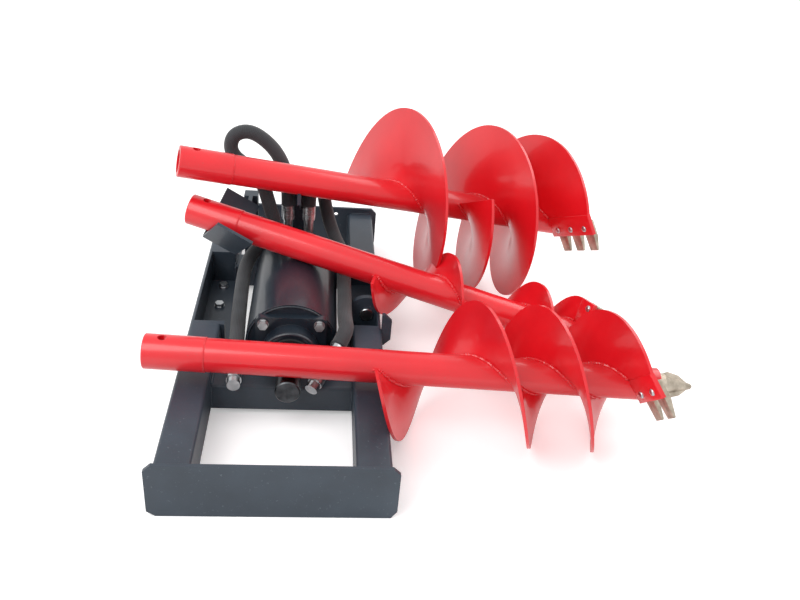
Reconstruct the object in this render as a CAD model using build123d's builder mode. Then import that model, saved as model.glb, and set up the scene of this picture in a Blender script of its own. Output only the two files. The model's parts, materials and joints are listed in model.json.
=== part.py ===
# Hydraulic earth auger drive, packed in its steel floor frame with three augers laid over it.
# Millimetres. +X is right, +Y is away from the near end plate, +Z is up.
# The origin is the middle of the near end plate's foot, on the ground.
from build123d import *
from math import asin, atan2, cos, degrees, pi, radians, sin, sqrt, tan
import os

os.makedirs("parts", exist_ok=True)

# General fits
seat_gap = 0.3
turn_gap = 0.05
bolt_gap = 0.2
overrun = 5.0

# End plates
plate_width = 568.0
plate_height = 150.0
plate_thick = 10.0
plate_top_cut = 17.0
plate_foot_cut_width = 20.0
plate_foot_cut_height = 14.0
far_hole_x = 140.0
far_hole_height = 125.0
far_hole_radius = 7.0

# Side rails, square tube with a long notch
frame_length = 1358.0
rail_width = 84.0
rail_height = 115.0
rail_wall = 10.0
rail_corner = 9.0
rail_margin = 16.0
rail_lift = 15.0
notch_y = 592.0
notch_length = 433.0
ledge_thick = 18.0
ledge_reach = 11.0
closer_thick = 10.0
floor_thick = 8.0
floor_reach = 16.0
floor_bolt_backs = (156.0, 38.0)
floor_bolt_inset = 40.0

# Bolts, metric 16
bolt_radius = 8.0
bolt_head_across = 24.0
bolt_head_thick = 10.0
washer_radius = 15.0
washer_thick = 3.0

# Cross-members
bar_width = 80.0
bar_wall = 6.0
bar_corner = 7.0
front_bar_y = 400.0
rear_bar_back = 13.0

# Lug bracket and side plate of the right rail
lug_y = 695.0
lug_inset = 30.0
lug_height = 120.0
lug_radius = 56.0
lug_thick = 16.0
lug_pin_chamfer = 1.6
lug_pin_radius = 15.0
lug_pin_length = 54.0
lug_pin_head_radius = 20.0
lug_pin_head_thick = 7.0
side_plate_reach = 28.0
side_plate_height = 102.0
side_plate_foot = 76.0
side_plate_cut = 20.0
side_plate_thick = 12.0

# Drive: shroud, nose and shaft, lying on its side
drive_x = 16.0
shroud_radius = 125.0
shroud_wall = 5.0
shroud_length = 405.0
flange_width = 190.0
flange_thick = 20.0
flange_corner = 14.0
flange_y = 495.0
boss_radius = 75.0
boss_length = 45.0
boss_round = 6.0
bolt_square = 150.0
bulkhead_thick = 30.0
shaft_radius = 32.5
shaft_reach = 155.0
shaft_chamfer = 3.0
shaft_hole_radius = 11.0
shaft_hole_inset = 45.0
journal_radius = 35.0
bearing_radius = 62.5
bearing_width = 24.0
seal_radius = 50.0
seal_width = 10.0
dust_ring_radius = 60.0
dust_ring_width = 8.0
dust_ring_lip = 4.0

# Planetary stage
tooth_module = 4.5
sun_teeth = 12
planet_teeth = 12
planet_count = 3
gear_width = 34.0
carrier_radius = 76.0
carrier_thick = 14.0
carrier_gap = 3.0
planet_pin_radius = 9.0
root_share = 1.25
tip_share = 0.92
flank_share = 0.235
tip_width_share = 0.12
root_width_share = 0.36
ring_case_gap = 0.5

# Motor and rear end
motor_shaft_radius = 16.0
motor_radius = 84.0
motor_length = 190.0
motor_plate_thick = 20.0
motor_cover_radius = 110.0
motor_cover_round = 6.0
rear_plate_thick = 15.0
ear_spread = 90.0
ear_thick = 20.0
ear_reach = 40.0
ear_radius = 35.0
ear_root = 120.0
hanger_pin_radius = 20.0
hanger_pin_extra = 12.0
hanger_head_radius = 28.0
hanger_head_thick = 10.0

# Port fittings and hoses
port_x_offset = 32.0
port_height = 85.0
port_reach = 52.0
port_radius = 15.0
port_bend = 24.0
port_nut_across = 40.0
port_nut_thick = 18.0
ferrule_top = 330.0
ferrule_length = 48.0
ferrule_radius = 19.0
hose_radius = 21.0
arc_share = 0.45
left_route = [
    (-16.0, 972.0, 330.0),
    (-16.0, 972.0, 385.0),
    (-30.0, 984.0, 450.0),
    (-66.0, 990.0, 510.0),
    (-130.0, 990.0, 556.0),
    (-184.0, 988.0, 538.0),
    (-190.0, 985.0, 482.0),
    (-138.0, 976.0, 446.0),
    (-92.0, 958.0, 404.0),
    (-70.0, 926.0, 345.0),
    (-50.0, 922.0, 275.0),
    (-62.0, 952.0, 218.0),
    (-118.0, 958.0, 174.0),
    (-141.0, 890.0, 152.0),
    (-142.0, 810.0, 144.0),
    (-140.0, 720.0, 138.0),
    (-138.0, 640.0, 126.0),
    (-135.0, 565.0, 114.6),
    (-131.0, 490.0, 113.9),
]
right_route = [
    (48.0, 972.0, 330.0),
    (48.0, 972.0, 381.0),
    (66.0, 1018.0, 408.0),
    (83.0, 1062.0, 381.0),
    (92.0, 1072.0, 320.0),
    (108.0, 1060.0, 250.0),
    (130.0, 1020.0, 202.0),
    (155.0, 955.0, 183.0),
    (161.0, 875.0, 170.0),
    (161.0, 790.0, 169.0),
    (162.0, 700.0, 168.0),
    (161.0, 625.0, 166.0),
    (163.0, 570.0, 168.0),
    (166.5, 516.0, 168.8),
    (141.0, 466.0, 151.0),
]
coupler_radius = 20.0
coupler_neck_radius = 15.0
coupler_ferrule_length = 40.0
coupler_nut_length = 22.0
coupler_groove_length = 9.0
coupler_body_length = 70.0
coupler_ring_radius = 17.0
coupler_ring_length = 21.0

# Auger rests on the rear cross-member
rest_post_x = 5.0
rest_post_width = 70.0
rest_post_depth = 50.0
rest_post_wall = 5.0
rest_post_top = 400.0
rest_post_back = 7.0
rest_arm_x = 19.0
rest_arm_thick = 10.0
rest_arm_foot = 290.0
rest_arm_front = 32.0
rest_arm_front_depth = 45.0
post_cap_thick = 5.0
cradle_post_x = -132.0
cradle_post_size = 42.0
cradle_post_wall = 4.0
cradle_post_front = 15.0
cradle_post_top = 338.0
cradle_arm_thick = 12.0
cradle_arm_foot = 255.0
cradle_x = -173.0
cradle_tilt_angle = 30.6
cradle_length = 110.0
cradle_wing = 165.0
cradle_thick = 8.0
cradle_opening_angle = 90.0
nest_share = 1.075

# Augers
hub_radius = 44.5
stem_radius = 43.0
stem_wall = 8.0
hub_length = 150.0
hub_depth = 125.0
hub_chamfer = 2.0
hub_pin_radius = 11.0
hub_pin_inset = 45.0
flight_thick = 8.0
weld_gap = 0.3
tooth_plate_length = 62.0
tooth_plate_thick = 12.0
tooth_width = 44.0
tooth_length = 88.0
tooth_thick = 15.0
tooth_overlap = 42.0
tooth_point_share = 0.35
tooth_room_share = 0.86
tooth_bevel_share = 0.55
pilot_length = 95.0
pilot_radius = 30.0
pilot_wing = 9.0
pilot_thick = 14.0
pilot_neck = 18.0
ground_gap = 0.6

# Places that follow from the sizes above
plate_half = plate_width / 2
rail_outer = plate_half - rail_margin
rail_inner = rail_outer - rail_width
rail_middle = rail_outer - rail_width / 2
rail_top = rail_lift + rail_height
rail_floor = rail_lift + rail_wall
near_face = plate_thick / 2
far_plate_y = frame_length - plate_thick
rail_length = far_plate_y - plate_thick
notch_end = notch_y + notch_length
floor_y = notch_y + ledge_thick
rear_bar_y = notch_end + rear_bar_back
floor_end = rear_bar_y - bar_width / 2
floor_length = floor_end - floor_y
wall_inside = rail_outer - rail_wall
lug_x = wall_inside - lug_inset
rest_post_y = rear_bar_y + rest_post_back
cradle_post_y = rear_bar_y - cradle_post_front
drive_height = shroud_radius
bar_height = drive_height - shaft_radius - seat_gap - rail_lift
bar_top = rail_lift + bar_height
shroud_y = flange_y + flange_thick
shroud_end = shroud_y + shroud_length
bore_radius = shroud_radius - shroud_wall
fit_radius = bore_radius - ring_case_gap
boss_y = flange_y - boss_length
bulkhead_y = shroud_y
ring_y = bulkhead_y + bulkhead_thick
planet_orbit = tooth_module * (sun_teeth + planet_teeth) / 2
ring_teeth = sun_teeth + 2 * planet_teeth
carrier_y = ring_y + carrier_gap
gear_y = carrier_y + carrier_thick + carrier_gap
ring_end = gear_y + gear_width + carrier_gap
motor_y = ring_end + motor_plate_thick
cover_y = motor_y + motor_length
rear_plate_y = shroud_end - rear_plate_thick
ear_y = shroud_end + ear_reach
shaft_front = boss_y - shaft_reach


def keep(piece, name):
    """Labels a finished piece and writes it."""
    piece.part.label = name
    export_step(piece.part, f"parts/{name}.step")


def across(y):
    """A plane that looks along the drive's axis, at a distance from the near plate."""
    return Plane(origin=(drive_x, y, drive_height), x_dir=(-1, 0, 0), z_dir=(0, 1, 0))


def ring_disc(name, y, thick, outer, inner):
    """A plain ring about the drive's axis."""
    with BuildPart() as disc:
        with BuildSketch(across(y)):
            Circle(outer)
            Circle(inner, mode=Mode.SUBTRACT)
        extrude(amount=thick)
    keep(disc, name)


# End plates
def end_plate(name, y, hole):
    with BuildPart() as plate:
        with BuildSketch(Plane.XZ.offset(-y - near_face)) as outline:
            with Locations((0, plate_height / 2)):
                Rectangle(plate_width, plate_height)
            chamfer(outline.vertices().group_by(Axis.Y)[-1], plate_top_cut)
            foot = outline.vertices().group_by(Axis.Y)[0]
            chamfer(foot, plate_foot_cut_height, plate_foot_cut_width)
            if hole:
                with Locations((far_hole_x, far_hole_height)):
                    Circle(far_hole_radius, mode=Mode.SUBTRACT)
        extrude(amount=plate_thick)
    keep(plate, name)


end_plate("near_end_plate", 0, False)
end_plate("far_end_plate", far_plate_y, True)


# Side rails: closed tube at both ends, one wall and the floor along the notch
def side_rail(name, side):
    with BuildPart() as rail:
        with BuildSketch(Plane.XZ.offset(-near_face)):
            with Locations((side * rail_middle, rail_lift + rail_height / 2)):
                RectangleRounded(rail_width, rail_height, rail_corner)
                Rectangle(rail_width - 2 * rail_wall, rail_height - 2 * rail_wall, mode=Mode.SUBTRACT)
        extrude(amount=-rail_length)
        with BuildSketch(Plane.XZ.offset(-notch_y)):
            with Locations((side * (wall_inside - rail_width / 2), rail_floor + rail_height / 2)):
                Rectangle(rail_width, rail_height)
        extrude(amount=-notch_length, mode=Mode.SUBTRACT)
    keep(rail, name)


side_rail("left_rail", -1)
side_rail("right_rail", 1)

# Plates across the rails that close their tubes at both ends of the notch; the near ones reach inwards
plate_sizes = ((notch_y, ledge_thick, ledge_reach), (notch_end - closer_thick, closer_thick, 0))
with BuildPart() as notch_plates:
    for y, thick, reach_in in plate_sizes:
        reach = wall_inside - rail_inner + reach_in
        with BuildSketch(Plane.XZ.offset(-y)):
            for side in (-1, 1):
                with Locations((side * (wall_inside - reach / 2), (rail_floor + rail_top) / 2)):
                    Rectangle(reach, rail_top - rail_floor)
        extrude(amount=-thick)
keep(notch_plates, "notch_plates")

# Floor plates of the notches; the left one is bolted to the rail's floor
bolt_x = -(wall_inside - floor_bolt_inset)
floor_bolt_places = [(bolt_x, floor_end - back) for back in floor_bolt_backs]
with BuildPart() as floors:
    floor_width = wall_inside - rail_inner + floor_reach
    with BuildSketch(Plane.XY.offset(rail_floor)):
        for side in (-1, 1):
            with Locations((side * (wall_inside - floor_width / 2), floor_y + floor_length / 2)):
                Rectangle(floor_width, floor_length)
        with Locations(*floor_bolt_places):
            Circle(bolt_radius + bolt_gap, mode=Mode.SUBTRACT)
    extrude(amount=floor_thick)
keep(floors, "notch_floors")

with BuildPart() as floor_bolts:
    bolt_seat = Plane.XY.offset(rail_floor + floor_thick)
    with BuildSketch(bolt_seat):
        with Locations(*floor_bolt_places):
            Circle(washer_radius)
    extrude(amount=washer_thick)
    with BuildSketch(bolt_seat.offset(washer_thick)):
        with Locations(*floor_bolt_places):
            RegularPolygon(bolt_head_across / 2, 6, major_radius=False)
    extrude(amount=bolt_head_thick)
    with BuildSketch(bolt_seat):
        with Locations(*floor_bolt_places):
            Circle(bolt_radius)
    extrude(amount=-floor_thick)
keep(floor_bolts, "floor_bolts")


# Cross-members between the rails
with BuildPart() as bars:
    with BuildSketch(Plane.YZ.offset(-rail_inner)):
        with Locations(*[(y, rail_lift + bar_height / 2) for y in (front_bar_y, rear_bar_y)]):
            RectangleRounded(bar_width, bar_height, bar_corner)
            Rectangle(bar_width - 2 * bar_wall, bar_height - 2 * bar_wall, mode=Mode.SUBTRACT)
    extrude(amount=2 * rail_inner)
keep(bars, "cross_members")

# Lug bracket that stands in the right notch, with its pin
lug_base = rail_floor + floor_thick
with BuildPart() as lug:
    with BuildSketch(Plane.XZ.offset(-(lug_y - lug_thick / 2))):
        with Locations((lug_x, lug_height)):
            Circle(lug_radius)
        with Locations(((rail_inner + wall_inside) / 2, (lug_base + lug_height) / 2)):
            Rectangle(wall_inside - rail_inner, lug_height - lug_base)
        with Locations((wall_inside + lug_radius, rail_top - lug_radius)):
            Rectangle(2 * lug_radius, 2 * lug_radius, mode=Mode.SUBTRACT)
        with Locations((lug_x, lug_height)):
            Circle(lug_pin_radius + turn_gap, mode=Mode.SUBTRACT)
    extrude(amount=-lug_thick)
keep(lug, "lug_bracket")

with BuildPart() as lug_pin:
    with BuildSketch(Plane.XZ.offset(-(lug_y - lug_thick / 2))):
        with Locations((lug_x, lug_height)):
            Circle(lug_pin_head_radius)
    extrude(amount=lug_pin_head_thick)
    chamfer(lug_pin.edges().group_by(Axis.Y)[0], lug_pin_chamfer)
    with BuildSketch(Plane.XZ.offset(-(lug_y - lug_thick / 2))):
        with Locations((lug_x, lug_height)):
            Circle(lug_pin_radius)
    extrude(amount=-lug_pin_length)
keep(lug_pin, "lug_pin")

with BuildPart() as side_plate:
    with BuildSketch(Plane.XZ.offset(-notch_y)) as outline:
        with Locations((rail_outer + side_plate_reach / 2, side_plate_foot + side_plate_height / 2)):
            Rectangle(side_plate_reach, side_plate_height)
        chamfer(outline.vertices().group_by(Axis.X)[-1], side_plate_cut)
    extrude(amount=-side_plate_thick)
keep(side_plate, "side_plate")

# Shroud of the drive
ring_disc("shroud", shroud_y, shroud_length, shroud_radius, bore_radius)

# Nose: square flange and round boss, bored for the seal and the front bearing
bolt_places = [
    (side * bolt_square / 2, up * bolt_square / 2) for side in (-1, 1) for up in (-1, 1)
]
with BuildPart() as nose:
    with BuildSketch(across(flange_y)):
        RectangleRounded(flange_width, flange_width, flange_corner)
        with Locations(*bolt_places):
            Circle(bolt_radius + bolt_gap, mode=Mode.SUBTRACT)
    extrude(amount=flange_thick)
    with BuildSketch(across(boss_y)):
        Circle(boss_radius)
    extrude(amount=boss_length)
    fillet(nose.edges().group_by(Axis.Y)[0], boss_round)
    with BuildSketch(across(boss_y)):
        Circle(seal_radius)
    extrude(amount=seal_width, mode=Mode.SUBTRACT)
    with BuildSketch(across(boss_y)):
        Circle(journal_radius + dust_ring_lip)
    extrude(amount=boss_length + flange_thick, mode=Mode.SUBTRACT)
    with BuildSketch(across(shroud_y)):
        Circle(bearing_radius)
    extrude(amount=-bearing_width, mode=Mode.SUBTRACT)
keep(nose, "nose_housing")

with BuildPart() as flange_bolts:
    with BuildSketch(across(flange_y)):
        with Locations(*bolt_places):
            Circle(washer_radius)
    extrude(amount=-washer_thick)
    with BuildSketch(across(flange_y - washer_thick)):
        with Locations(*bolt_places):
            RegularPolygon(bolt_head_across / 2, 6, major_radius=False)
    extrude(amount=-bolt_head_thick)
    with BuildSketch(across(flange_y)):
        with Locations(*bolt_places):
            Circle(bolt_radius)
    extrude(amount=flange_thick)
keep(flange_bolts, "flange_bolts")

ring_disc("shaft_seal", boss_y, seal_width, seal_radius, shaft_radius + seat_gap)

with BuildPart() as dust_ring:
    with BuildSketch(across(boss_y)):
        Circle(dust_ring_radius)
        Circle(seal_radius, mode=Mode.SUBTRACT)
    extrude(amount=-dust_ring_width)
keep(dust_ring, "dust_ring")

with BuildPart() as bulkhead:
    with BuildSketch(across(bulkhead_y)):
        Circle(fit_radius)
        Circle(journal_radius + dust_ring_lip, mode=Mode.SUBTRACT)
    extrude(amount=bulkhead_thick)
    with BuildSketch(across(ring_y)):
        Circle(bearing_radius)
    extrude(amount=-bearing_width, mode=Mode.SUBTRACT)
keep(bulkhead, "bulkhead")
with BuildPart() as bearings:
    for bearing_end in (shroud_y, ring_y):
        with BuildSketch(across(bearing_end)):
            Circle(bearing_radius)
            Circle(journal_radius + turn_gap, mode=Mode.SUBTRACT)
        extrude(amount=-bearing_width)
keep(bearings, "shaft_bearings")

# Output shaft with a cross hole for the auger's pin
with BuildPart() as shaft:
    with BuildSketch(across(shaft_front)):
        Circle(shaft_radius)
    extrude(amount=shroud_y - bearing_width - shaft_front)
    chamfer(shaft.edges().group_by(Axis.Y)[0], shaft_chamfer)
    with BuildSketch(across(shroud_y - bearing_width)):
        Circle(journal_radius)
    extrude(amount=carrier_y + carrier_thick - shroud_y + bearing_width)
    with BuildSketch(Plane.YZ.offset(drive_x)):
        with Locations((shaft_front + shaft_hole_inset, drive_height)):
            Circle(shaft_hole_radius)
    extrude(amount=shaft_radius + overrun, both=True, mode=Mode.SUBTRACT)
keep(shaft, "output_shaft")

# Planet carrier and its pins
with BuildPart() as carrier:
    with BuildSketch(across(carrier_y)):
        Circle(carrier_radius)
        Circle(journal_radius, mode=Mode.SUBTRACT)
        with PolarLocations(planet_orbit, planet_count):
            Circle(planet_pin_radius, mode=Mode.SUBTRACT)
    extrude(amount=carrier_thick)
keep(carrier, "planet_carrier")

with BuildPart() as planet_pins:
    with BuildSketch(across(carrier_y)):
        with PolarLocations(planet_orbit, planet_count):
            Circle(planet_pin_radius)
    extrude(amount=gear_y + gear_width - carrier_y)
keep(planet_pins, "planet_pins")


# Gears of the planetary stage: each tooth has straight flanks that narrow to its tip
def tooth_outline(teeth, inward, start_angle):
    """The corners of one tooth after another, around a gear."""
    pitch = tooth_module * teeth / 2
    root = pitch + tooth_module * root_share if inward else pitch - tooth_module * root_share
    tip = pitch - tooth_module * tip_share if inward else pitch + tooth_module * tip_share
    step = 2 * pi / teeth
    corners = []
    for number in range(teeth):
        middle = radians(start_angle) + number * step
        for radius, share in ((root, -root_width_share), (pitch, -flank_share), (tip, -tip_width_share),
                              (tip, tip_width_share), (pitch, flank_share),
                              (root, root_width_share)):
            angle = middle + share * step
            corners.append((radius * cos(angle), radius * sin(angle)))
    return corners


def toothed(name, teeth, place, start_angle, bore):
    x, z = place
    with BuildPart() as gear:
        with BuildSketch(across(gear_y)):
            with Locations((x, z)):
                Polygon(*tooth_outline(teeth, False, start_angle), align=None)
                Circle(bore, mode=Mode.SUBTRACT)
        extrude(amount=gear_width)
    keep(gear, name)


for number in range(planet_count):
    angle = 2 * pi * number / planet_count
    place = (planet_orbit * cos(angle), planet_orbit * sin(angle))
    half_tooth = 180 / planet_teeth
    toothed(f"planet_gear_{number + 1}", planet_teeth, place, degrees(angle) + half_tooth,
            planet_pin_radius + turn_gap)
toothed("sun_gear", sun_teeth, (0, 0), 0, motor_shaft_radius)

with BuildPart() as ring_gear:
    with BuildSketch(across(ring_y)):
        Circle(fit_radius)
        Circle(tooth_module * ring_teeth / 2 + tooth_module * root_share, mode=Mode.SUBTRACT)
    extrude(amount=gear_y - ring_y)
    with BuildSketch(across(gear_y)):
        Circle(fit_radius)
        Polygon(*tooth_outline(ring_teeth, True, 0), align=None, mode=Mode.SUBTRACT)
    extrude(amount=ring_end - gear_y)
keep(ring_gear, "ring_gear")

# Motor behind the gears
ring_disc("motor_plate", ring_end, motor_plate_thick, fit_radius, motor_shaft_radius + turn_gap)
with BuildPart() as motor_shaft:
    with BuildSketch(across(gear_y)):
        Circle(motor_shaft_radius)
    extrude(amount=motor_y + motor_plate_thick - gear_y)
keep(motor_shaft, "motor_shaft")
with BuildPart() as motor:
    with BuildSketch(across(motor_y)):
        Circle(motor_radius)
    extrude(amount=motor_length)
    with BuildSketch(across(motor_y)):
        Circle(motor_shaft_radius + turn_gap)
    extrude(amount=motor_plate_thick + carrier_gap, mode=Mode.SUBTRACT)
keep(motor, "motor_body")
with BuildPart() as cover:
    with BuildSketch(across(cover_y)):
        Circle(motor_cover_radius)
    extrude(amount=rear_plate_y - cover_y)
    fillet(cover.edges().group_by(Axis.Y)[0], motor_cover_round)
keep(cover, "motor_cover")

port_places = [(side * port_x_offset, port_height) for side in (-1, 1)]
with BuildPart() as rear_plate:
    with BuildSketch(across(rear_plate_y)):
        Circle(fit_radius)
        with Locations(*port_places):
            Circle(port_radius + bolt_gap, mode=Mode.SUBTRACT)
    extrude(amount=rear_plate_thick)
keep(rear_plate, "rear_plate")

# Hanger ears and their pin
with BuildPart() as ears:
    for side in (-1, 1):
        ear_middle = drive_x + side * ear_spread / 2
        with BuildSketch(Plane.YZ.offset(ear_middle - ear_thick / 2)):
            with BuildLine():
                Polyline((shroud_end, drive_height - ear_root / 2), (shroud_end, drive_height + ear_root / 2),
                         (ear_y, drive_height + ear_radius), (ear_y, drive_height - ear_radius), close=True)
            make_face()
            with Locations((ear_y, drive_height)):
                Circle(ear_radius)
                Circle(hanger_pin_radius + turn_gap, mode=Mode.SUBTRACT)
        extrude(amount=ear_thick)
keep(ears, "hanger_ears")

pin_start = drive_x - ear_spread / 2 - ear_thick / 2
with BuildPart() as hanger_pin:
    with BuildSketch(Plane.YZ.offset(pin_start)):
        with Locations((ear_y, drive_height)):
            Circle(hanger_head_radius)
    extrude(amount=-hanger_head_thick)
    with BuildSketch(Plane.YZ.offset(pin_start)):
        with Locations((ear_y, drive_height)):
            Circle(hanger_pin_radius)
    extrude(amount=ear_spread + ear_thick + hanger_pin_extra)
keep(hanger_pin, "hanger_pin")


# Port fittings: an elbow out of the rear plate, a nut and the hose's crimped ferrule
port_y = shroud_end + port_reach
port_z = drive_height + port_height
with BuildPart() as fittings:
    for side in (-1, 1):
        x = drive_x + side * port_x_offset
        elbow_start = Plane(origin=(x, rear_plate_y, port_z), x_dir=(1, 0, 0), z_dir=(0, 1, 0))
        with BuildLine() as bend:
            FilletPolyline((x, rear_plate_y, port_z), (x, port_y, port_z), (x, port_y, ferrule_top),
                           radius=port_bend)
        with BuildSketch(elbow_start):
            Circle(port_radius)
        sweep(path=bend.wires()[0])
        with BuildSketch(elbow_start.offset(rear_plate_thick)):
            RegularPolygon(port_nut_across / 2, 6, major_radius=False)
        extrude(amount=port_nut_thick)
        with BuildSketch(Plane(origin=(x, port_y, ferrule_top))):
            Circle(ferrule_radius)
        extrude(amount=-ferrule_length)
keep(fittings, "port_fittings")


# Hoses: straight runs joined by arcs as large as their runs allow
def bend_radii(points):
    radii = []
    for before, here, after in zip(points, points[1:], points[2:]):
        run_in = Vector(*here) - Vector(*before)
        run_out = Vector(*after) - Vector(*here)
        half_turn = radians(run_in.get_angle(run_out) / 2)
        radii.append(arc_share * min(run_in.length, run_out.length) / tan(half_turn))
    return radii


def hose(name, points):
    radii = bend_radii(points)
    print(name, "bend radii", [round(radius) for radius in radii])
    with BuildPart() as tube:
        with BuildLine() as route:
            FilletPolyline(*points, radius=radii)
        start = Vector(*points[0])
        with BuildSketch(Plane(origin=start, z_dir=Vector(*points[1]) - start)):
            Circle(hose_radius)
        sweep(path=route.wires()[0])
    length = route.wires()[0].length
    share = tube.part.volume / (pi * hose_radius**2 * length)
    print(name, "length", round(length), "volume over section times length", round(share, 4))
    keep(tube, name)


def coupler(name, route):
    """Ferrule, nut, body and end ring in line with the hose's last run."""
    start = Vector(*route[-1])
    line = Plane(origin=start, z_dir=start - Vector(*route[-2]))
    nut = coupler_ferrule_length
    body = nut + coupler_nut_length
    groove = body + coupler_groove_length
    ring = body + coupler_body_length
    total = ring + coupler_ring_length
    with BuildPart() as piece:
        with BuildSketch(Plane(origin=start, x_dir=line.x_dir, z_dir=line.y_dir)):
            with BuildLine():
                Polyline((0, 0), (ferrule_radius, 0), (ferrule_radius, -nut), (coupler_radius, -nut),
                         (coupler_radius, -body), (coupler_neck_radius, -body),
                         (coupler_neck_radius, -groove), (coupler_radius, -groove),
                         (coupler_radius, -ring), (coupler_ring_radius, -ring),
                         (coupler_ring_radius, -total), (0, -total), close=True)
            make_face()
        revolve(axis=Axis(line.origin, line.z_dir))
    keep(piece, name)


hose("left_hose", left_route)
hose("right_hose", right_route)
coupler("left_coupler", left_route)
coupler("right_coupler", right_route)


# Auger axes: each lies on a support near its hub and on the rim of its flights at the far end
def lean_angle(height, reach, rim):
    """The tilt, in degrees, at which the rim touches the ground a reach away from the support."""
    return degrees(asin(height / sqrt(reach**2 + rim**2)) - atan2(rim, reach))


def height_over(radius, heading, reach, rim):
    """The height of an axis that leans over a round support of the drive, above the drive's axis."""
    height = radius
    for _ in range(lean_pass_count):
        lean = radians(lean_angle(drive_height + height - ground_gap, reach, rim))
        height = radius / cos(atan2(sin(lean), cos(lean) * cos(radians(heading))))
    return height


def auger_axis(x, y, height, heading, lean):
    """Plane on an auger's axis: its normal runs to the tip, its x points away from the camera side."""
    turn, fall = radians(heading), radians(lean)
    along = Vector(cos(turn) * cos(fall), sin(turn) * cos(fall), -sin(fall))
    return Plane(origin=(x, y, height), x_dir=(-sin(turn), cos(turn), 0), z_dir=along)


class Auger:
    """Sizes of one auger. Distances run along its axis from the point over its support."""

    def __init__(self, name, axis, rim, pitch, hub_end, first, length, turns, teeth):
        self.name = name
        self.axis = axis
        self.rim = rim
        self.pitch = pitch
        self.hub_end = hub_end
        self.first = first
        self.length = length
        self.turns = turns
        self.teeth = teeth


def stem(auger):
    start = auger.hub_end + hub_length
    with BuildPart() as tube:
        with BuildSketch(auger.axis.offset(start)):
            Circle(stem_radius)
            Circle(stem_radius - stem_wall, mode=Mode.SUBTRACT)
        extrude(amount=auger.length - start)
        with BuildSketch(auger.axis.offset(auger.length - stem_wall)):
            Circle(stem_radius)
        extrude(amount=stem_wall)
    keep(tube, f"{auger.name}_stem")


def hub(auger):
    pin_line = auger.axis.offset(auger.hub_end + hub_pin_inset)
    with BuildPart() as collar:
        with BuildSketch(auger.axis.offset(auger.hub_end)):
            Circle(hub_radius)
        extrude(amount=hub_length)
        chamfer(collar.edges().filter_by(GeomType.CIRCLE), hub_chamfer)
        with BuildSketch(auger.axis.offset(auger.hub_end)):
            Circle(shaft_radius + turn_gap)
        extrude(amount=hub_depth, mode=Mode.SUBTRACT)
        with BuildSketch(Plane(origin=pin_line.origin, x_dir=pin_line.z_dir, z_dir=pin_line.y_dir)):
            Circle(hub_pin_radius)
        extrude(amount=hub_radius + overrun, both=True, mode=Mode.SUBTRACT)
    keep(collar, f"{auger.name}_hub")


def spiral(auger, shift, start_turn, end_turn):
    """The inner edge of a flight, where it is welded to the stem."""
    lift = auger.first + shift + auger.pitch * start_turn
    curve = Helix(auger.pitch, auger.pitch * (end_turn - start_turn), stem_radius + weld_gap)
    return auger.axis.location * Location((0, 0, lift), (0, 0, 360 * start_turn)) * curve


def radial_plane(auger, path, share):
    """A plane across the flight at one end: its x runs outwards, its normal along the spiral."""
    point = path @ share
    outward = auger.axis.to_local_coords(point)
    foot = auger.axis.from_local_coords(Vector(0, 0, outward.Z))
    return Plane(origin=point, x_dir=point - foot, z_dir=path % share)


def flights(auger, paths):
    """Two spiral flights, the second half a turn on, each swept along its inner edge."""
    height = auger.rim - stem_radius - weld_gap
    with BuildPart() as blades:
        for path in paths:
            with BuildSketch(radial_plane(auger, path, 0)):
                with Locations((height / 2, 0)):
                    Rectangle(height, flight_thick)
            sweep(path=path, is_frenet=True)
    keep(blades, f"{auger.name}_flights")


def tooth_plates(auger, ends):
    """Thick plates that carry on from the ends of the flights and hold the teeth."""
    height = auger.rim - stem_radius - weld_gap
    with BuildPart() as plates:
        for end in ends:
            with BuildSketch(end):
                with Locations((height / 2, 0)):
                    Rectangle(height, tooth_plate_thick)
            extrude(amount=tooth_plate_length)
    keep(plates, f"{auger.name}_tooth_plates")


def tooth_places(auger, end, count):
    """The planes and the width of the teeth that stand side by side on one tooth plate."""
    room = (auger.rim - stem_radius - weld_gap) / count
    width = min(tooth_width, room * tooth_room_share)
    face = end.offset(tooth_plate_length - tooth_overlap)
    places = []
    for number in range(count):
        side = (number + 1 / 2) * room - width / 2
        corner = face.from_local_coords(Vector(side, -tooth_plate_thick / 2, 0))
        places.append((Plane(origin=corner, x_dir=-end.y_dir, z_dir=end.x_dir), width))
    return places


def teeth(auger, ends):
    """Chisel teeth bolted on the leading faces of the tooth plates."""
    with BuildPart() as row:
        for end, count in zip(ends, auger.teeth):
            for place, width in tooth_places(auger, end, count):
                with BuildSketch(place):
                    with BuildLine():
                        Polyline((0, 0), (tooth_thick, 0), (tooth_thick, -tooth_length * tooth_bevel_share),
                                 (tooth_thick * tooth_point_share, -tooth_length), (0, -tooth_length),
                                 close=True)
                    make_face()
                extrude(amount=width)
    keep(row, f"{auger.name}_teeth")


def pilot(auger):
    """The point that centres the auger: a neck, a cone and two cutting wings."""
    tip = auger.axis.offset(auger.length)
    with BuildPart() as point:
        with BuildSketch(Plane(origin=tip.origin, x_dir=tip.x_dir, z_dir=tip.y_dir)):
            with BuildLine():
                Polyline((0, 0), (pilot_radius, 0), (pilot_radius, -pilot_neck), (0, -pilot_length),
                         close=True)
            make_face()
        revolve(axis=Axis(tip.origin, tip.z_dir))
        with BuildSketch(Plane(origin=tip.origin, x_dir=tip.x_dir, z_dir=tip.y_dir)):
            with BuildLine():
                Polyline((-pilot_radius - pilot_wing, 0), (pilot_radius + pilot_wing, 0),
                         (pilot_radius + pilot_wing, -pilot_neck), (0, -pilot_length - pilot_wing),
                         (-pilot_radius - pilot_wing, -pilot_neck), close=True)
            make_face()
        extrude(amount=pilot_thick / 2, both=True)
    keep(point, f"{auger.name}_pilot_point")


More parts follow.
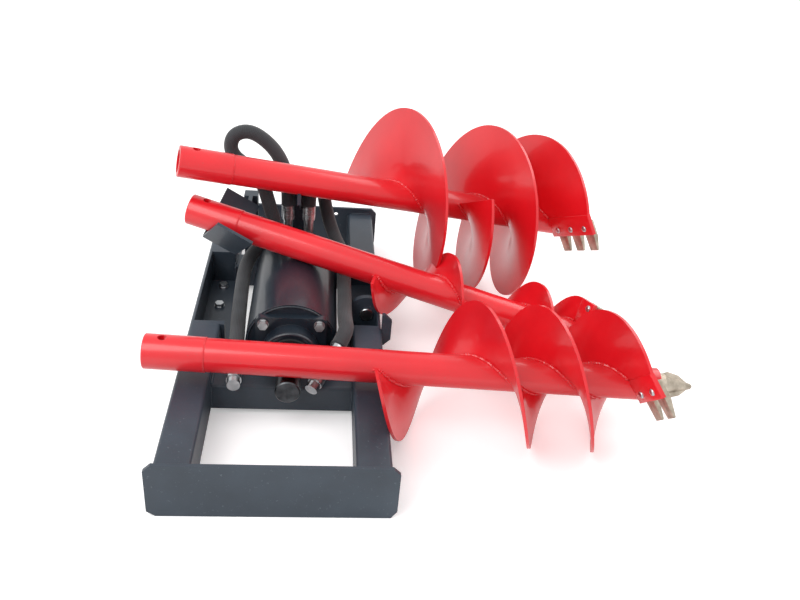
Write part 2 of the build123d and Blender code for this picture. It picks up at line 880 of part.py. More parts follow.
def build_auger(auger):
    stem(auger)
    hub(auger)
    pilot(auger)
    paths = [spiral(auger, shift, *turns) for shift, turns in zip((0, auger.pitch / 2), auger.turns)]
    ends = [radial_plane(auger, path, 1) for path in paths]
    flights(auger, paths)
    tooth_plates(auger, ends)
    teeth(auger, ends)


# The second flight, half a turn on, has its last touch of the ground 2.25 turns from the first one's start
last_touch_share = 2.25
lean_pass_count = 4

# Upper auger, large: it lies on the rest arm
upper_rim = 265.0
upper_pitch = 294.0
upper_heading_angle = 11.7
upper_y = 901.0
upper_height = 444.0
upper_turn_shares = ((0.0, 2.5), (0.45, 2.0))
upper_length = 1000.0
upper_flight_run = 746.0
upper_first = upper_length - upper_flight_run
upper_hub_end = -331.0
upper_lean = lean_angle(upper_height - ground_gap, upper_first + last_touch_share * upper_pitch, upper_rim)
upper_axis = auger_axis(0, upper_y, upper_height, upper_heading_angle, upper_lean)
upper = Auger("upper", upper_axis, upper_rim, upper_pitch, upper_hub_end, upper_first, upper_length,
              upper_turn_shares, (3, 3))

# Lower auger, middle size: it lies on the output shaft
lower_rim = 184.0
lower_pitch = 335.0
lower_heading_angle = -2.1
lower_y = 331.0
lower_turn_shares = ((0.7, 2.65), (0.95, 2.15))
lower_length = 985.0
lower_flight_run = 901.0
lower_first = lower_length - lower_flight_run
lower_hub_end = -339.0
lower_reach = lower_first - drive_x + last_touch_share * lower_pitch
lower_seat = shaft_radius + stem_radius + seat_gap
lower_height = drive_height + height_over(lower_seat, lower_heading_angle, lower_reach, lower_rim)
lower_lean = lean_angle(lower_height - ground_gap, lower_reach, lower_rim)
lower_axis = auger_axis(drive_x, lower_y, lower_height, lower_heading_angle, lower_lean)
lower = Auger("lower", lower_axis, lower_rim, lower_pitch, lower_hub_end - drive_x, lower_first - drive_x,
              lower_length, lower_turn_shares, (3, 2))

# Middle auger, small: it lies on the shroud
middle_rim = 116.0
middle_pitch = 377.0
middle_heading_angle = -12.7
middle_y = 775.0
middle_turn_shares = ((0.6, 2.3), (0.95, 1.85))
middle_length = 975.0
middle_flight_run = 883.0
middle_first = middle_length - middle_flight_run
middle_hub_end = -306.0
middle_reach = middle_first - drive_x + last_touch_share * middle_pitch
middle_seat = shroud_radius + stem_radius + seat_gap
middle_height = drive_height + height_over(middle_seat, middle_heading_angle, middle_reach, middle_rim)
middle_lean = lean_angle(middle_height - ground_gap, middle_reach, middle_rim)
middle_axis = auger_axis(drive_x, middle_y, middle_height, middle_heading_angle, middle_lean)
middle = Auger("middle", middle_axis, middle_rim, middle_pitch, middle_hub_end - drive_x,
               middle_first - drive_x, middle_length, middle_turn_shares, (2, 2))

for auger in (upper, lower, middle):
    bore = auger.axis.offset(auger.hub_end + hub_depth / 2).origin
    print(auger.name, "hub bore", [round(v, 3) for v in bore], [round(-v, 6) for v in auger.axis.z_dir])
    build_auger(auger)


# Posts on the rear cross-member: one for the upper auger's rest arm and one for the cradle
post_sizes = (
    (rest_post_x, rest_post_y, rest_post_width, rest_post_depth, rest_post_wall, rest_post_top),
    (cradle_post_x, cradle_post_y, cradle_post_size, cradle_post_size, cradle_post_wall, cradle_post_top),
)
with BuildPart() as posts:
    for x, y, width, depth, wall, top in post_sizes:
        with BuildSketch(Plane.XY.offset(bar_top)):
            with Locations((x, y)):
                Rectangle(width, depth)
                Rectangle(width - 2 * wall, depth - 2 * wall, mode=Mode.SUBTRACT)
        extrude(amount=top - bar_top)
        with BuildSketch(Plane.XY.offset(top - post_cap_thick)):
            with Locations((x, y)):
                Rectangle(width, depth)
        extrude(amount=post_cap_thick)
keep(posts, "rest_posts")

rest_face = rest_post_y - rest_post_depth / 2
arm_share = (rest_arm_x - upper.axis.origin.X) / upper.axis.z_dir.X
arm_seat = upper.axis.origin + upper.axis.z_dir * arm_share
with BuildPart() as rest_arm:
    with BuildSketch(Plane.YZ.offset(rest_arm_x - rest_arm_thick / 2)):
        with BuildLine():
            Polyline((rest_face, rest_arm_foot), (rest_face, rest_post_top),
                     (arm_seat.Y + stem_radius, arm_seat.Z - stem_radius / 2),
                     (arm_seat.Y, arm_seat.Z), (arm_seat.Y - rest_arm_front, arm_seat.Z),
                     (arm_seat.Y - rest_arm_front, arm_seat.Z - stem_radius - rest_arm_front_depth / 2),
                     (arm_seat.Y, arm_seat.Z - stem_radius - rest_arm_front_depth), close=True)
        make_face()
    extrude(amount=rest_arm_thick)
    with BuildSketch(upper.axis.offset(-upper_length)):
        Circle(stem_radius + seat_gap)
    extrude(amount=2 * upper_length, mode=Mode.SUBTRACT)
keep(rest_arm, "rest_arm")


# Cradle: a trough of two wings, tilted down to the right, with the middle auger's hub end in it.
# Its high edge carries the stem, so its bottom line is placed from the auger's axis there.
cradle_fall = radians(cradle_tilt_angle)
trough = Vector(cos(cradle_fall), 0, -sin(cradle_fall))
trough_up = Vector(sin(cradle_fall), 0, cos(cradle_fall))
high_x = cradle_x - cradle_length / 2 * trough.X
high_share = (high_x - middle.axis.origin.X) / middle.axis.z_dir.X
high_seat = middle.axis.origin + middle.axis.z_dir * high_share
nest_depth = (hub_radius + seat_gap) / sin(radians(cradle_opening_angle / 2)) * nest_share
trough_start = high_seat - trough_up * nest_depth
wing_planes = []
for side in (-1, 1):
    lean = radians(cradle_opening_angle / 2)
    wing_out = trough_up * cos(lean) + Vector(0, side * sin(lean), 0)
    wing_planes.append(Plane(origin=trough_start, x_dir=trough, z_dir=trough.cross(wing_out)))

with BuildPart() as cradle:
    for side, wing_plane in zip((-1, 1), wing_planes):
        with BuildSketch(wing_plane):
            with Locations((cradle_length / 2, cradle_wing / 2)):
                Rectangle(cradle_length, cradle_wing)
        extrude(amount=-side * cradle_thick)
keep(cradle, "auger_cradle")

cradle_face = cradle_post_y - cradle_post_size / 2
back = wing_planes[1].offset(-cradle_thick)
with BuildPart() as cradle_arm:
    with BuildSketch(Plane.YZ.offset(cradle_post_x - cradle_arm_thick / 2)):
        with Locations(((cradle_face + high_seat.Y) / 2, (cradle_arm_foot + cradle_post_top) / 2)):
            Rectangle(cradle_face - high_seat.Y, cradle_post_top - cradle_arm_foot)
    extrude(amount=cradle_arm_thick)
    split(bisect_by=back, keep=Keep.BOTTOM)
keep(cradle_arm, "cradle_arm")
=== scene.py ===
"""Earth auger drive in its floor frame: looks, hoses, welds, stage and camera."""
import bpy
import bmesh
import json
import math
from mathutils import Matrix, Vector


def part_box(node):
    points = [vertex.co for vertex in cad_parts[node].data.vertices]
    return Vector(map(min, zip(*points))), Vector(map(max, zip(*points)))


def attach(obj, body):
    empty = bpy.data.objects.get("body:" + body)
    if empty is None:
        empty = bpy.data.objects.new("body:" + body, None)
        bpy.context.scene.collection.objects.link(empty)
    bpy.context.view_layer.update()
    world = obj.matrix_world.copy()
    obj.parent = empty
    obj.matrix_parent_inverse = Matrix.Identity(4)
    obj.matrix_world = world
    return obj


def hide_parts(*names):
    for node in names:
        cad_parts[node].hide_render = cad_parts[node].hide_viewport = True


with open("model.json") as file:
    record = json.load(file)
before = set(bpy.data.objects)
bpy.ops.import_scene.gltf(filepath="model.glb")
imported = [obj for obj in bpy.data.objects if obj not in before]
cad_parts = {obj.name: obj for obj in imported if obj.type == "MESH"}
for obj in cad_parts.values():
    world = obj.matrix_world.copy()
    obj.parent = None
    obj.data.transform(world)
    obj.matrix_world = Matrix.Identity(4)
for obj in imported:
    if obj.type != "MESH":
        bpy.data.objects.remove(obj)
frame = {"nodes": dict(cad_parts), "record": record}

bl_info = {
    "name": "Earth auger drive",
    "version": (1, 0, 0),
    "blender": (4, 5, 0),
    "location": "3D View > Sidebar > Auger Drive",
    "description": "Dresses the packed earth auger drive with paint, hoses, welds and a studio stage",
    "category": "Object",
}

MM = 0.001

# Hose routes, in metres, as the drive's source lays them
LEFT_ROUTE = [
    (-0.016, 0.972, 0.330),
    (-0.016, 0.972, 0.385),
    (-0.030, 0.984, 0.450),
    (-0.066, 0.990, 0.510),
    (-0.130, 0.990, 0.556),
    (-0.184, 0.988, 0.538),
    (-0.190, 0.985, 0.482),
    (-0.138, 0.976, 0.446),
    (-0.092, 0.958, 0.404),
    (-0.070, 0.926, 0.345),
    (-0.050, 0.922, 0.275),
    (-0.062, 0.952, 0.218),
    (-0.118, 0.958, 0.174),
    (-0.141, 0.890, 0.152),
    (-0.142, 0.810, 0.144),
    (-0.140, 0.720, 0.138),
    (-0.138, 0.640, 0.126),
    (-0.135, 0.565, 0.1146),
    (-0.131, 0.490, 0.1139),
]
RIGHT_ROUTE = [
    (0.048, 0.972, 0.330),
    (0.048, 0.972, 0.381),
    (0.066, 1.018, 0.408),
    (0.083, 1.062, 0.381),
    (0.092, 1.072, 0.320),
    (0.108, 1.060, 0.250),
    (0.130, 1.020, 0.202),
    (0.155, 0.955, 0.183),
    (0.161, 0.875, 0.170),
    (0.161, 0.790, 0.169),
    (0.162, 0.700, 0.168),
    (0.161, 0.625, 0.166),
    (0.163, 0.570, 0.168),
    (0.1665, 0.516, 0.1688),
    (0.141, 0.466, 0.151),
]

# The camera that took the photograph, fitted to the frame's edges
CAMERA_PLACE = (0.0800, -1.3879, 1.4368)
CAMERA_PITCH = 31.18
CAMERA_YAW = 6.703
CAMERA_ROLL = 5.539
CAMERA_LENS = 37.55
SENSOR_WIDTH = 36.0
VIEW_DEPTH = 200.0

# Each auger in metres and turns, fitted to the photograph: heading in degrees, rim radius, then along the
# axis the hub's open end, the stem's tip and the pilot's point; each flight's first and last turn, its place
# at turn zero and its pitch; and the teeth on each flight's end
AUGERS = {
    "upper": {"heading": 11.7, "rim": 0.265, "hub": -0.331, "tip": 0.905, "point": 1.000,
              "flights": ((-0.06, 2.03, 0.254, 0.294), (0.42, 1.42, 0.3858, 0.3277)), "teeth": 3},
    "lower": {"heading": -2.1, "rim": 0.184, "hub": -0.355, "tip": 0.950, "point": 1.046,
              "flights": ((0.43, 2.38, 0.075, 0.333), (0.95, 1.88, 0.2355, 0.335)), "teeth": 2},
    "middle": {"heading": -12.7, "rim": 0.116, "hub": -0.322, "tip": 0.900, "point": 1.000,
               "flights": ((0.47, 2.78, 0.122, 0.268), (1.70, 2.20, 0.252, 0.268)), "teeth": 2},
}

# Stems, flights and their welds, in metres
BORE_TO_HUB_END = 0.0625
HUB_LENGTH = 0.150
STEM_RADIUS = 0.043
STEM_CHAMFER = 0.002
FLIGHT_THICKNESS = 0.008
FLIGHT_ROOT = STEM_RADIUS - 0.001
HUB_BEAD = 0.0018

# Pilot points: the core as (place from the stem's tip, radius) and (place from the point, radius), the turns
# that its wings stand at, and a wing as (place from the stem's tip, reach, half its thickness)
PILOT_NECK = ((0.0, 0.030), (0.018, 0.030), (0.022, 0.026))
PILOT_TIP = ((-0.004, 0.007), (0.0, 0.002))
WING_TURNS = (0.12, 0.62)
WING = ((0.016, 0.029, 0.007), (0.030, 0.034, 0.007), (0.060, 0.026, 0.005), (0.082, 0.009, 0.002))

# Tooth plates and teeth; a slope radius is where the plate has the flight's own slope
PLATE_THICKNESS = 0.012
PLATE_LAP = 0.002
PLATE_LENGTH = 0.062
PLATE_SLOPE_RADIUS = 0.100
TOOTH_START = 0.020
TOOTH_LENGTH = 0.096
TOOTH_THICKNESS = 0.015
TOOTH_WIDTH = 0.044
TOOTH_ROOM_SHARE = 0.86
TOOTH_STRAIGHT_SHARE = 0.55
TOOTH_TIP_SHARE = 0.35
TOOTH_TIP_CUT = 0.003
TOOTH_BOLT = 0.041
PLATE_ROUNDING = 0.0012
BOLT_HEAD = ((-0.001, 0.0095), (0.0, 0.0095), (0.0025, 0.0088), (0.0045, 0.0066), (0.0052, 0.0035))

# Frame and drive sizes that the node boxes don't give
BAR_WIDTH = 0.080
RAIL_WALL = 0.010
LEDGE_THICKNESS = 0.018
CLOSER_WELD_INSET = LEDGE_THICKNESS * 0.55
EAR_THICKNESS = 0.020

# Weld beads: steps along a run, the shares of a bead's radius that lift it off a wall, and the room at ends
BEAD_STEP = 0.0025
WALL_LIFT = 0.3
TOP_LIFT = 0.2
SEAM_LIFT = 0.1
EAR_LIFT = 0.4
SEAM_SHARE = 0.8
BAR_END_ROOM = 0.005
BAR_SIDE_ROOM = 0.006
RAIL_CORNER = 0.009
NOTCH_FOOT_ROOM = 0.012
NOTCH_TOP_ROOM = 0.004
EAR_ROOM = 0.012
SHROUD_SEAM_INSET = 0.006

# Crimped rings of the ferrules: from the fittings' top down to the first, their spacing, count and profile
FERRULE_DEPTH = 0.046
CRIMP_START = 0.003
CRIMP_SPACING = 0.0085
CRIMP_COUNT = 5
CRIMP = ((0.0, 0.0188), (0.001, 0.0199), (0.005, 0.0199), (0.006, 0.0188))

# The floor lies a hair below the feet; the lamps look at the middle of the part
FLOOR_HEIGHT = -0.0005
LAMP_AIM = (0.1, 0.6, 0.2)
KEY_SIZE, KEY_PLACE = 2.6, (-1.6, -0.9, 2.9)
FILL_SIZE, FILL_PLACE = 2.2, (2.2, 1.6, 2.4)

NODES = frame["record"]["subparts"]
GREY = [(v, v, v, 1.0) for v in (0.0, 1.0)]


def linear(colour):
    """An sRGB hex colour as linear RGBA."""
    values = [int(colour[i:i + 2], 16) / 255 for i in (1, 3, 5)]
    steps = [v / 12.92 if v <= 0.04045 else ((v + 0.055) / 1.055) ** 2.4 for v in values]
    return (*steps, 1.0)


def add(tree, kind, inputs=None, **settings):
    """Adds one shader node, with its settings, its input values and its links."""
    node = tree.nodes.new(kind)
    for name, value in settings.items():
        setattr(node, name, value)
    for name, value in (inputs or {}).items():
        socket = node.inputs[name]
        if isinstance(value, bpy.types.NodeSocket):
            tree.links.new(value, socket)
        else:
            socket.default_value = value
    return node


def start_material(name):
    """An empty node material with its output and principled shader."""
    old = bpy.data.materials.get(name)
    if old:
        bpy.data.materials.remove(old)
    material = bpy.data.materials.new(name)
    material.use_nodes = True
    tree = material.node_tree
    tree.nodes.clear()
    shader = add(tree, "ShaderNodeBsdfPrincipled")
    add(tree, "ShaderNodeOutputMaterial", {"Surface": shader.outputs["BSDF"]})
    return material, tree, shader


def join(tree, shader, **links):
    """Links sockets to the shader's inputs, named with underscores for spaces."""
    for name, value in links.items():
        socket = shader.inputs[name.replace("_", " ")]
        if isinstance(value, bpy.types.NodeSocket):
            tree.links.new(value, socket)
        else:
            socket.default_value = value


def per_metre(size_mm):
    """The scale of a pattern whose features are size_mm across, in object coordinates."""
    return 1 / (size_mm * MM)


def noise(tree, place, size_mm, detail=3.0, roughness=0.5):
    return add(tree, "ShaderNodeTexNoise",
               {"Vector": place, "Scale": per_metre(size_mm), "Detail": detail, "Roughness": roughness})


def ramp(tree, factor, low, high, first, second):
    """A two-stop colour ramp."""
    node = add(tree, "ShaderNodeValToRGB", {"Fac": factor})
    node.color_ramp.elements[0].position = low
    node.color_ramp.elements[0].color = first
    node.color_ramp.elements[1].position = high
    node.color_ramp.elements[1].color = second
    return node.outputs["Color"]


def rounded_edges(tree, radius_mm, bump=None):
    """A normal that rounds sharp CAD edges by a small radius, with an optional bump on top."""
    bevel = add(tree, "ShaderNodeBevel", {"Radius": radius_mm * MM}, samples=4)
    if bump is None:
        return bevel.outputs["Normal"]
    height, depth_mm = bump
    node = add(tree, "ShaderNodeBump", {"Height": height, "Distance": depth_mm * MM,
                                        "Normal": bevel.outputs["Normal"]})
    return node.outputs["Normal"]


def paint(name, main, shade, scuff, gloss, peel_mm, coat):
    """Sprayed enamel on steel: an even coat with orange peel, faint dust and edges rubbed thin."""
    material, tree, shader = start_material(name)
    place = add(tree, "ShaderNodeTexCoord").outputs["Object"]
    cloud = noise(tree, place, size_mm=180.0, detail=4.0)
    colour = ramp(tree, cloud.outputs["Fac"], 0.35, 0.7, linear(shade), linear(main))
    speck = noise(tree, place, size_mm=9.0, detail=6.0, roughness=0.7)
    dust = ramp(tree, speck.outputs["Fac"], 0.62, 0.78, *GREY)
    bare = add(tree, "ShaderNodeNewGeometry").outputs["Pointiness"]
    rubbed = ramp(tree, bare, 0.53, 0.6, *GREY)
    worn = add(tree, "ShaderNodeMath", {0: rubbed, 1: dust}, operation="MULTIPLY")
    mixed = add(tree, "ShaderNodeMix", {"Factor": worn.outputs["Value"], "A": colour, "B": linear(scuff)},
                data_type="RGBA")
    rough = add(tree, "ShaderNodeMapRange", {"Value": speck.outputs["Fac"], "To Min": gloss,
                                             "To Max": gloss + 0.12})
    peel = noise(tree, place, size_mm=peel_mm, detail=2.0)
    normal = rounded_edges(tree, 1.2, (peel.outputs["Fac"], 0.05))
    join(tree, shader, Base_Color=mixed.outputs["Result"], Roughness=rough.outputs["Result"], Normal=normal,
         Coat_Weight=coat, Coat_Roughness=0.12)
    return material


def metal(name, light, dark, rough_low, rough_high, grain_mm, stretch):
    """Bare metal: fine tool marks stretched along one axis and soft stains."""
    material, tree, shader = start_material(name)
    place = add(tree, "ShaderNodeTexCoord").outputs["Object"]
    turned = add(tree, "ShaderNodeMapping", {"Vector": place, "Scale": stretch})
    marks = noise(tree, turned.outputs["Vector"], size_mm=grain_mm, detail=4.0, roughness=0.6)
    stain = noise(tree, place, size_mm=35.0, detail=5.0, roughness=0.6)
    colour = ramp(tree, stain.outputs["Fac"], 0.35, 0.68, linear(dark), linear(light))
    rough = add(tree, "ShaderNodeMapRange", {"Value": marks.outputs["Fac"], "To Min": rough_low,
                                             "To Max": rough_high})
    normal = rounded_edges(tree, 0.5, (marks.outputs["Fac"], 0.03))
    join(tree, shader, Base_Color=colour, Metallic=1.0, Roughness=rough.outputs["Result"], Normal=normal)
    return material


def rubber():
    """Moulded nitrile rubber: matt black with a faint mould texture and dust."""
    material, tree, shader = start_material("nitrile_rubber_moulded")
    place = add(tree, "ShaderNodeTexCoord").outputs["Object"]
    grain = noise(tree, place, size_mm=2.0)
    colour = ramp(tree, grain.outputs["Fac"], 0.4, 0.8, linear("#101113"), linear("#24272a"))
    normal = rounded_edges(tree, 0.6, (grain.outputs["Fac"], 0.05))
    join(tree, shader, Base_Color=colour, Roughness=0.7, Normal=normal)
    return material


def sleeve():
    """Woven nylon hose sleeve: two sets of flat threads that cross on the slant, slightly dusty."""
    material, tree, shader = start_material("nylon_sleeve_woven")
    # Real bundles are about 2 mm wide. The UVs count bundles of the hose's thread width, twice as coarse, so
    # that the weave shows
    uv = add(tree, "ShaderNodeTexCoord").outputs["UV"]
    axes = add(tree, "ShaderNodeSeparateXYZ", {"Vector": uv})
    waves = []
    for sign in (1.0, -1.0):
        part = add(tree, "ShaderNodeMath", {0: axes.outputs["X"], 1: sign}, operation="MULTIPLY")
        slant = add(tree, "ShaderNodeMath", {0: part.outputs["Value"], 1: axes.outputs["Y"]}, operation="ADD")
        wave = add(tree, "ShaderNodeMath", {0: slant.outputs["Value"]}, operation="SINE")
        waves.append(wave.outputs["Value"])
    weave = add(tree, "ShaderNodeMath", {0: waves[0], 1: waves[1]}, operation="MULTIPLY")
    height = add(tree, "ShaderNodeMapRange", {"Value": weave.outputs["Value"], "From Min": -1.0})
    place = add(tree, "ShaderNodeTexCoord").outputs["Object"]
    dusty = noise(tree, place, size_mm=60.0, detail=4.0)
    thread = ramp(tree, height.outputs["Result"], 0.2, 0.9, linear("#17191c"), linear("#3a3e43"))
    dust = ramp(tree, dusty.outputs["Fac"], 0.4, 0.8, linear("#202326"), linear("#43484d"))
    colour = add(tree, "ShaderNodeMix", {"Factor": 0.45, "A": thread, "B": dust}, data_type="RGBA")
    bump = add(tree, "ShaderNodeBump", {"Height": height.outputs["Result"], "Distance": 0.6 * MM})
    join(tree, shader, Base_Color=colour.outputs["Result"], Roughness=0.75, Normal=bump.outputs["Normal"],
         Sheen_Weight=0.3)
    return material


def studio_floor(glow):
    """Pale painted studio floor, matt and faintly mottled; the camera sees it lifted to white."""
    material, tree, shader = start_material("studio_floor_matt_paint")
    place = add(tree, "ShaderNodeTexCoord").outputs["Object"]
    cloud = noise(tree, place, size_mm=400.0, detail=2.0)
    colour = ramp(tree, cloud.outputs["Fac"], 0.3, 0.7, linear("#fbfbfb"), linear("#ffffff"))
    seen = add(tree, "ShaderNodeLightPath").outputs["Is Camera Ray"]
    lift = add(tree, "ShaderNodeMath", {0: seen, 1: glow}, operation="MULTIPLY")
    join(tree, shader, Base_Color=colour, Roughness=0.9, Emission_Color=linear("#ffffff"),
         Emission_Strength=lift.outputs["Value"])
    return material


def finishes(colours):
    """Every material slot of the record, by its name."""
    return {
        # Glossy red enamel, sprayed over welded steel: deep colour with soft highlights
        "auger_paint": paint("red_enamel_sprayed", colours.auger_red, "#d81622", "#7a5a50", 0.26, 2.5, 0.5),
        # Slate-blue powder coat, baked on the tube frame: satin, edges catch the light
        "frame_paint": paint("slate_powder_coat_baked", colours.frame_slate, "#2a343f", "#6d757c", 0.42, 1.5,
                             0.15),
        # Darker navy enamel on the drive's housings: glossier than the frame
        "drive_paint": paint("navy_enamel_sprayed", colours.drive_navy, "#121b25", "#5b6268", 0.3, 2.0, 0.35),
        # Zinc plate on bolts and hose ends: bright, a little cloudy
        "zinc_steel": metal("zinc_plate_bright", "#d9dadb", "#a9adb0", 0.22, 0.4, 1.0, (1.0, 1.0, 1.0)),
        # Turned and ground steel: dark with fine rings, oiled
        "machined_steel": metal("machined_steel_oiled", "#5d5f62", "#34373a", 0.25, 0.45, 0.8,
                                (1.0, 6.0, 1.0)),
        # Seal carrier in machined brass-coloured bronze, dulled
        "seal_brass": metal("bronze_turned_dull", "#b98a4a", "#7c5a2c", 0.3, 0.5, 0.8, (1.0, 4.0, 1.0)),
        # Cast steel teeth and points, ground at the edges: pale beige with darker stains
        "tooth_steel": metal("tooth_steel_cast", "#d8cdbd", "#a09484", 0.35, 0.6, 2.0, (1.0, 1.0, 1.0)),
        "black_rubber": rubber(),
        "hose_sleeve": sleeve(),
    }


def piece_from(mesh_name, vertices, faces, material, uvs=None, smooth=True):
    """A mesh object of the scene with one material."""
    mesh = bpy.data.meshes.new(mesh_name)
    mesh.from_pydata(vertices, [], faces)
    mesh.materials.append(material)
    for polygon in mesh.polygons:
        polygon.use_smooth = smooth
    if uvs:
        layer = mesh.uv_layers.new(name="UVMap")
        for polygon in mesh.polygons:
            for loop, corner in zip(polygon.loop_indices, uvs[polygon.index]):
                layer.data[loop].uv = corner
    piece = bpy.data.objects.new(mesh_name, mesh)
    bpy.context.scene.collection.objects.link(piece)
    return piece


def sweep_frames(points):
    """Tangent and two side directions at each point, carried along without twist."""
    frames = []
    side = None
    for index, point in enumerate(points):
        before = points[max(index - 1, 0)]
        after = points[min(index + 1, len(points) - 1)]
        tangent = (after - before).normalized()
        if side is None:
            helper = Vector((0, 0, 1)) if abs(tangent.z) < 0.9 else Vector((1, 0, 0))
            side = tangent.cross(helper).normalized()
        side = (side - tangent * side.dot(tangent)).normalized()
        frames.append((point, tangent, side, tangent.cross(side)))
    return frames


def tube(name, points, radius, thread, material, sides=48):
    """A closed round tube along points, with UVs counted in woven threads."""
    rings = []
    run = [0.0]
    for index, (point, _, side, up) in enumerate(sweep_frames(points)):
        if index:
            run.append(run[-1] + (point - points[index - 1]).length)
        rings.append(circle(point, side, up, radius, sides))
    vertices, faces = loft(rings)
    around = math.pi * round(2 * math.pi * radius / thread)
    along = math.pi / thread
    uvs = []
    for ring in range(len(points) - 1):
        bottom, top = along * run[ring], along * run[ring + 1]
        for step in range(sides):
            left, right = around * step / sides, around * (step + 1) / sides
            uvs.append(((left, bottom), (right, bottom), (right, top), (left, top)))
    uvs += [[(0.0, 0.0)] * sides] * 2
    return piece_from(name, vertices, faces, material, uvs)


def nurbs_points(route, name, detail=14):
    """The points of a smooth open NURBS spline with the route as its control points."""
    curve = bpy.data.curves.new(name, "CURVE")
    curve.dimensions = "3D"
    curve.resolution_u = detail
    spline = curve.splines.new("NURBS")
    spline.points.add(len(route) - 1)
    for point, place in zip(spline.points, route):
        point.co = (*place, 1.0)
    spline.order_u = 3
    spline.use_endpoint_u = True
    holder = bpy.data.objects.new(name, curve)
    bpy.context.scene.collection.objects.link(holder)
    bpy.context.view_layer.update()
    mesh = bpy.data.meshes.new_from_object(holder)
    points = []
    for vertex in mesh.vertices:
        if not points or (vertex.co - points[-1]).length > MM:
            points.append(vertex.co.copy())
    bpy.data.objects.remove(holder)
    bpy.data.curves.remove(curve)
    bpy.data.meshes.remove(mesh)
    return points


def box_of(node):
    """Lowest and highest corner of a CAD node, as vectors."""
    low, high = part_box(node)
    return Vector(low), Vector(high)


def finish_piece(piece, body):
    """Rides the piece on its body."""
    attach(piece, body)
    return piece


def merge(name, shapes, material, bevel=0.0):
    """One mesh object out of several closed (vertices, faces) shapes, with smooth faces and sharp corners."""
    vertices, faces = [], []
    for points, sides in shapes:
        start = len(vertices)
        vertices.extend(points)
        faces.extend([tuple(start + corner for corner in side) for side in sides])
    piece = piece_from(name, vertices, faces, material)
    shape = bmesh.new()
    shape.from_mesh(piece.data)
    bmesh.ops.recalc_face_normals(shape, faces=shape.faces[:])
    if bevel:
        bmesh.ops.bevel(shape, geom=shape.edges[:], offset=bevel, segments=2, profile=0.5, affect="EDGES")
    shape.to_mesh(piece.data)
    shape.free()
    piece.data.set_sharp_from_angle(angle=math.radians(40))
    return piece


def loft(rings):
    """Vertices and faces of a solid through rings of equal counts, closed at both ends."""
    sides = len(rings[0])
    vertices = [point for ring in rings for point in ring]
    faces = []
    for low in range(0, sides * (len(rings) - 1), sides):
        for step in range(sides):
            after = (step + 1) % sides
            faces.append((low + step, low + after, low + sides + after, low + sides + step))
    faces.append(tuple(range(sides))[::-1])
    faces.append(tuple(range(sides * (len(rings) - 1), sides * len(rings))))
    return vertices, faces


def circle(centre, side, up, radius, sides):
    """Points of a circle about a centre, in the plane of side and up."""
    turns = [2 * math.pi * step / sides for step in range(sides)]
    return [centre + (side * math.cos(turn) + up * math.sin(turn)) * radius for turn in turns]


def bead_shape(points, radius, sides=8, lumps=0.2, ripple=0.007):
    """A weld bead with ripples along its run and closed ends."""
    rings = []
    length = 0.0
    for index, (point, _, side, up) in enumerate(sweep_frames(points)):
        if index:
            length += (point - points[index - 1]).length
        swell = radius * (1 + lumps * math.sin(2 * math.pi * length / ripple))
        if index in (0, len(points) - 1):
            swell *= 0.5
        rings.append(circle(point, side, up, swell, sides))
    return loft(rings)


def straight(start, end, step):
    """Points along a straight run, a step apart."""
    start, end = Vector(start), Vector(end)
    count = max(2, round((end - start).length / step))
    return [start.lerp(end, index / count) for index in range(count + 1)]


def straight_bead(start, end, radius):
    """A weld bead along a straight run."""
    return bead_shape(straight(start, end, BEAD_STEP), radius)


def turned_shape(profile, origin, axis, sides=32):
    """A profile of (distance along the axis, radius) turned about it, closed at both ends."""
    axis = axis.normalized()
    helper = Vector((0, 0, 1)) if abs(axis.z) < 0.9 else Vector((1, 0, 0))
    side = axis.cross(helper).normalized()
    up = axis.cross(side)
    return loft([circle(origin + axis * along, side, up, radius, sides) for along, radius in profile])


def bar_shape(origin, across, ahead, normal, stations):
    """A bar through stations of (place ahead, first and last place across, low and high along the normal)."""
    return loft([[origin + ahead * place + across * sideways + normal * height
                  for sideways, height in ((first, low), (last, low), (last, high), (first, high))]
                 for place, first, last, low, high in stations])


